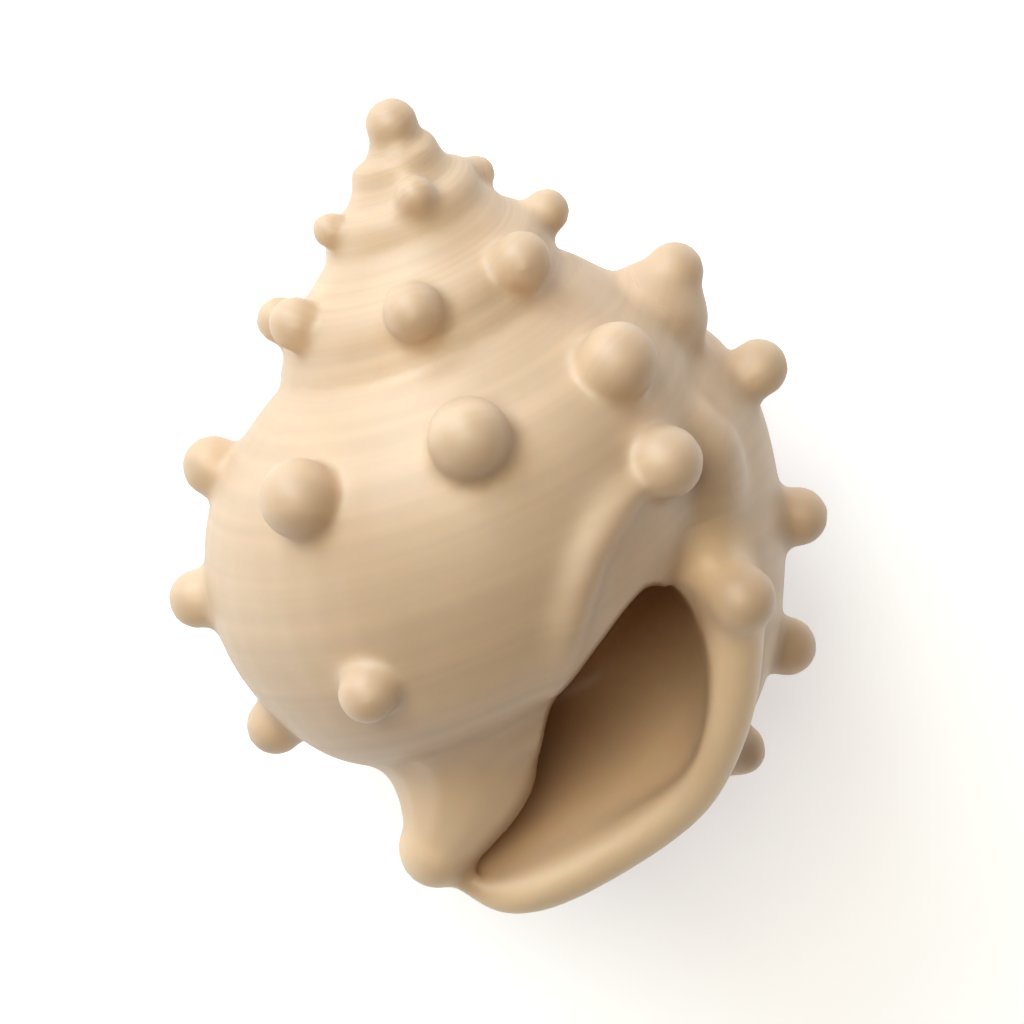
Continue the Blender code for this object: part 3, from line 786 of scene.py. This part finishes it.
def add_attributes(mesh, inner):
    """Marks the lining of the hollow and the painted shade across it, the lip's paler rim, which is partly
    painted highlight, a painted highlight on the lobe, and each point's place on the coil.
    """
    count = len(mesh.vertices)
    points = np.empty(count * 3, np.float32)
    mesh.vertices.foreach_get("co", points)
    points = points.reshape(-1, 3)
    rim = [front_point(*place) for place in LIP_RIM]
    lobe = [front_point(*place) for place in LOBE[-2:]]
    inside = np.zeros(count, np.float32)
    lining_painted_shading = np.zeros(count, np.float32)
    pale_rim_and_highlight = np.zeros(count, np.float32)
    for i in range(count):
        blend = LINING_BLEND + LOW_BLEND * smoothstep((LOW_TOP - points[i][2] / MM) / LOW_LENGTH)
        where, _, _, away = inner.find_nearest(Vector(points[i]), blend * MM)
        if where is not None:
            inside[i] = 1.0 - smoothstep(away / (blend * MM))
            # painted shade on the lining: darker towards the upper left, lighter towards the low right,
            # where the light falls
            lining_painted_shading[i] = (Vector(points[i] / MM).dot(LINING_WAY) - LINING_START) / LINING_LENGTH
        # the rim paler, partly its own tone and partly painted highlight, and a painted highlight on the
        # lobe
        if inside[i] < 1.0 and points[i][2] < rim[0].z * MM:
            away = line_distance(Vector(points[i] / MM), rim)
            pale_rim_and_highlight[i] = 1.0 - smoothstep((away - RIM_REACH[0]) / (RIM_REACH[1] - RIM_REACH[0]))
            # painted highlight on the lobe's end
            away = line_distance(Vector(points[i] / MM), lobe)
            lobe_highlight = 1.0 - smoothstep((away - LOBE_HIGHLIGHT_REACH[0]) / (LOBE_HIGHLIGHT_REACH[1] - LOBE_HIGHLIGHT_REACH[0]))
            pale_rim_and_highlight[i] = max(pale_rim_and_highlight[i], LOBE_HIGHLIGHT_SHARE * lobe_highlight)
    turns, sections = coil_places(points / MM)
    mesh.attributes.new("inside", "FLOAT", "POINT").data.foreach_set("value", inside)
    mesh.attributes.new("lining_painted_shading", "FLOAT", "POINT").data.foreach_set("value", np.clip(lining_painted_shading, 0.0, 1.0))
    mesh.attributes.new("rim", "FLOAT", "POINT").data.foreach_set("value", pale_rim_and_highlight)
    coil = np.column_stack((turns, sections, np.zeros(count))).astype(np.float32)
    mesh.attributes.new("coil", "FLOAT_VECTOR", "POINT").data.foreach_set("vector", coil.ravel())


def soften_edge(mesh, collection):
    """Rounds the aperture's edge: a little all round, and broadly at the low right."""
    loop = [front_point(*place) for place in APERTURE_OUTLINE]
    edge = loop[SOFT_EDGE]
    loop.append(loop[0])
    carrier = bpy.data.objects.new("edge_carrier", mesh)
    collection.objects.link(carrier)
    group = carrier.vertex_groups.new(name="edge")
    near, far = SOFT_EDGE_REACH
    top = max(place.z for place in loop) + far
    for vertex in mesh.vertices:
        place = vertex.co / MM
        if place.y > 0 or place.z > top:
            continue
        share = 1.0 - smoothstep((line_distance(place, edge) - near) / (far - near))
        share *= smoothstep((LOW_TOP + LOW_LENGTH - place.z) / LOW_LENGTH)
        crisp = 1.0 - smoothstep((line_distance(place, loop) - near) / (far - near))
        share = max(share, CRISP_SHARE * crisp)
        if share > 0:
            group.add([vertex.index], share, "REPLACE")
    flow = carrier.modifiers.new("flow", "SMOOTH")
    flow.factor = SMOOTHING
    flow.iterations = SOFT_EDGE_PASSES
    flow.vertex_group = group.name
    softened = evaluated_mesh(carrier)
    bpy.data.objects.remove(carrier)
    return softened


def shell_material():
    material = bpy.data.materials.new("shell_look")
    material.use_nodes = True
    tree = material.node_tree
    nodes, links = tree.nodes, tree.links
    surface = nodes["Principled BSDF"]
    surface.inputs["Roughness"].default_value = SKIN_ROUGHNESS
    surface.inputs["Specular IOR Level"].default_value = SKIN_SHINE
    surface.inputs["Metallic"].default_value = 0.0
    surface.inputs["Subsurface Weight"].default_value = GLOW_WEIGHT
    surface.inputs["Subsurface Radius"].default_value = GLOW_RADIUS
    surface.inputs["Subsurface Scale"].default_value = GLOW_SCALE * MM

    def attribute(name):
        node = nodes.new("ShaderNodeAttribute")
        node.attribute_name = name
        return node

    inside = attribute("inside").outputs["Fac"]
    # share along the lining's painted shade, from shaded to lit
    lining_painted_shading = attribute("lining_painted_shading").outputs["Fac"]
    # the rim's paler tone with painted highlight, and the painted highlight on the lobe
    rim = attribute("rim").outputs["Fac"]
    coil = attribute("coil").outputs["Vector"]

    place = nodes.new("ShaderNodeTexCoord").outputs["Object"]
    cloud = nodes.new("ShaderNodeTexNoise")
    cloud.inputs["Scale"].default_value = CLOUD_SCALE
    cloud.inputs["Detail"].default_value = CLOUD_DETAIL
    links.new(place, cloud.inputs["Vector"])
    outer = nodes.new("ShaderNodeValToRGB")
    outer.color_ramp.elements[0].position = CLOUD_RANGE[0]
    outer.color_ramp.elements[0].color = (*OUTER_DARK, 1.0)
    outer.color_ramp.elements[1].position = CLOUD_RANGE[1]
    outer.color_ramp.elements[1].color = (*OUTER_LIGHT, 1.0)
    links.new(cloud.outputs["Fac"], outer.inputs["Fac"])

    stretch = nodes.new("ShaderNodeMapping")
    stretch.inputs["Scale"].default_value = STREAK_SCALE
    links.new(coil, stretch.inputs["Vector"])
    threads = nodes.new("ShaderNodeTexNoise")
    threads.inputs["Scale"].default_value = 1.0
    threads.inputs["Detail"].default_value = STREAK_DETAIL
    links.new(stretch.outputs["Vector"], threads.inputs["Vector"])
    streak = nodes.new("ShaderNodeMapRange")
    streak.inputs["From Min"].default_value = STREAK_RANGE[0]
    streak.inputs["From Max"].default_value = STREAK_RANGE[1]
    streak.inputs["To Min"].default_value = STREAK_TONES[0]
    streak.inputs["To Max"].default_value = STREAK_TONES[1]
    links.new(threads.outputs["Fac"], streak.inputs["Value"])
    streaked = nodes.new("ShaderNodeVectorMath")
    streaked.operation = "SCALE"
    links.new(outer.outputs["Color"], streaked.inputs[0])
    links.new(streak.outputs["Result"], streaked.inputs["Scale"])

    # painted shade on the lining, from the painted shaded end to the painted lit end
    lining = nodes.new("ShaderNodeValToRGB")
    lining.color_ramp.elements[0].position = 0.0
    lining.color_ramp.elements[0].color = (*LINING_PAINTED_SHADE, 1.0)
    lining.color_ramp.elements[1].position = 1.0
    lining.color_ramp.elements[1].color = (*LINING_PAINTED_LIT, 1.0)
    links.new(lining_painted_shading, lining.inputs["Fac"])
    # paler rim, partly its own tone and partly painted highlight, and the painted highlight on the lobe
    pale_rim_and_highlight_mix = nodes.new("ShaderNodeMix")
    pale_rim_and_highlight_mix.data_type = "RGBA"
    pale_rim_and_highlight_mix.inputs["B"].default_value = (*RIM_PALE_AND_HIGHLIGHT, 1.0)
    links.new(rim, pale_rim_and_highlight_mix.inputs["Factor"])
    links.new(streaked.outputs["Vector"], pale_rim_and_highlight_mix.inputs["A"])
    both = nodes.new("ShaderNodeMix")
    both.data_type = "RGBA"
    links.new(inside, both.inputs["Factor"])
    links.new(pale_rim_and_highlight_mix.outputs["Result"], both.inputs["A"])
    links.new(lining.outputs["Color"], both.inputs["B"])
    links.new(both.outputs["Result"], surface.inputs["Base Color"])

    relief = nodes.new("ShaderNodeBump")
    relief.inputs["Strength"].default_value = RELIEF_STRENGTH
    relief.inputs["Distance"].default_value = RELIEF_HEIGHT * MM
    links.new(threads.outputs["Fac"], relief.inputs["Height"])
    links.new(relief.outputs["Normal"], surface.inputs["Normal"])
    return material


def make_shell(collection):
    mesh, inner = fused(collection)
    add_attributes(mesh, inner)
    mesh = soften_edge(mesh, collection)
    mesh.name = "shell_look"
    turned = rest_rotation()
    mesh.transform(turned)
    low = low_and_middle(mesh)
    lift = Matrix.Translation(-low - Vector((0, 0, WORN_DEPTH * MM)))
    mesh.transform(lift)
    for vertex in mesh.vertices:
        vertex.co.z = max(vertex.co.z, 0.0)
    mesh.materials.append(shell_material())
    mesh.shade_smooth()
    shell = bpy.data.objects.new("shell_look", mesh)
    collection.objects.link(shell)
    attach(shell, "root")
    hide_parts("shell")
    return lift @ turned


def photo_axes():
    """Right, up and backwards of the view, in the upright frame."""
    across = Vector((1, 0, 0))
    tilt = math.radians(VIEW_TILT)
    lean = math.radians(VIEW_LEAN)
    back = Vector((0, -math.cos(tilt), math.sin(tilt)))
    upright = Vector((0, math.sin(tilt), math.cos(tilt)))
    right = across * math.cos(lean) - upright * math.sin(lean)
    up = across * math.sin(lean) + upright * math.cos(lean)
    return right, up, back


def add_camera(placing):
    right, up, back = photo_axes()
    anchor = Vector((0, 0, -APEX_DROP))
    middle = (anchor + right * (FRAME_CENTRE - APEX_PIXEL[0]) * PIXEL
              - up * (FRAME_CENTRE - APEX_PIXEL[1]) * PIXEL)
    data = bpy.data.cameras.new("camera")
    data.lens = LENS
    data.sensor_width = SENSOR
    data.clip_start = NEAREST
    distance = (2 * FRAME_CENTRE * PIXEL * LENS / SENSOR - SCALE_DEPTH) * MM
    basis = Matrix((right, up, back)).transposed().to_4x4()
    camera = bpy.data.objects.new("camera", data)
    bpy.context.scene.collection.objects.link(camera)
    camera.matrix_world = placing @ Matrix.Translation(middle * MM + back * distance) @ basis
    bpy.context.scene.camera = camera
    return camera


def add_light(name, camera, direction, size, power, colour):
    """A square soft light; its direction is right, up and back as the camera sees them."""
    data = bpy.data.lights.new(name, "AREA")
    data.shape = "SQUARE"
    data.size = size
    data.energy = power
    data.color = colour
    light = bpy.data.objects.new(name, data)
    bpy.context.scene.collection.objects.link(light)
    towards = camera.matrix_world.to_3x3() @ Vector(direction).normalized()
    light.matrix_world = (Matrix.Translation(LIGHT_AIM + towards * LIGHT_DISTANCE)
                          @ towards.to_track_quat("Z", "Y").to_matrix().to_4x4())


def add_stage():
    mesh = bmesh.new()
    bmesh.ops.create_grid(mesh, x_segments=1, y_segments=1, size=FLOOR_SIZE / 2)
    data = bpy.data.meshes.new("floor")
    mesh.to_mesh(data)
    mesh.free()
    material = bpy.data.materials.new("floor_paint")
    material.use_nodes = True
    surface = material.node_tree.nodes["Principled BSDF"]
    surface.inputs["Base Color"].default_value = (*FLOOR_COLOUR, 1.0)
    surface.inputs["Roughness"].default_value = FLOOR_ROUGHNESS
    surface.inputs["Emission Color"].default_value = (*FLOOR_GLOW_COLOUR, 1.0)
    surface.inputs["Emission Strength"].default_value = FLOOR_GLOW
    data.materials.append(material)
    floor = bpy.data.objects.new("floor", data)
    bpy.context.scene.collection.objects.link(floor)

    world = bpy.data.worlds.new("studio")
    world.use_nodes = True
    background = world.node_tree.nodes["Background"]
    background.inputs["Color"].default_value = (*WORLD_COLOUR, 1.0)
    nodes, links = world.node_tree.nodes, world.node_tree.links
    split = nodes.new("ShaderNodeSeparateXYZ")
    links.new(nodes.new("ShaderNodeTexCoord").outputs["Generated"], split.inputs["Vector"])
    height = nodes.new("ShaderNodeMath")
    height.operation = "ABSOLUTE"
    links.new(split.outputs["Z"], height.inputs[0])
    fade = nodes.new("ShaderNodeMapRange")
    fade.interpolation_type = "SMOOTHSTEP"
    fade.inputs["From Min"].default_value = HORIZON_BAND[0]
    fade.inputs["From Max"].default_value = HORIZON_BAND[1]
    fade.inputs["To Min"].default_value = HORIZON_LIGHT
    fade.inputs["To Max"].default_value = CEILING_LIGHT
    links.new(height.outputs["Value"], fade.inputs["Value"])
    links.new(fade.outputs["Result"], background.inputs["Strength"])
    bpy.context.scene.world = world


def main():
    pieces = bpy.data.collections.new("distorsio_shell_look")
    bpy.context.scene.collection.children.link(pieces)
    placing = make_shell(pieces)
    camera = add_camera(placing)
    add_stage()
    add_light("key", camera, KEY_DIRECTION, KEY_SIZE, KEY_POWER, KEY_COLOUR)
    add_light("fill", camera, FILL_DIRECTION, FILL_SIZE, FILL_POWER, FILL_COLOUR)
    bpy.context.scene.view_settings.view_transform = "Standard"


main()
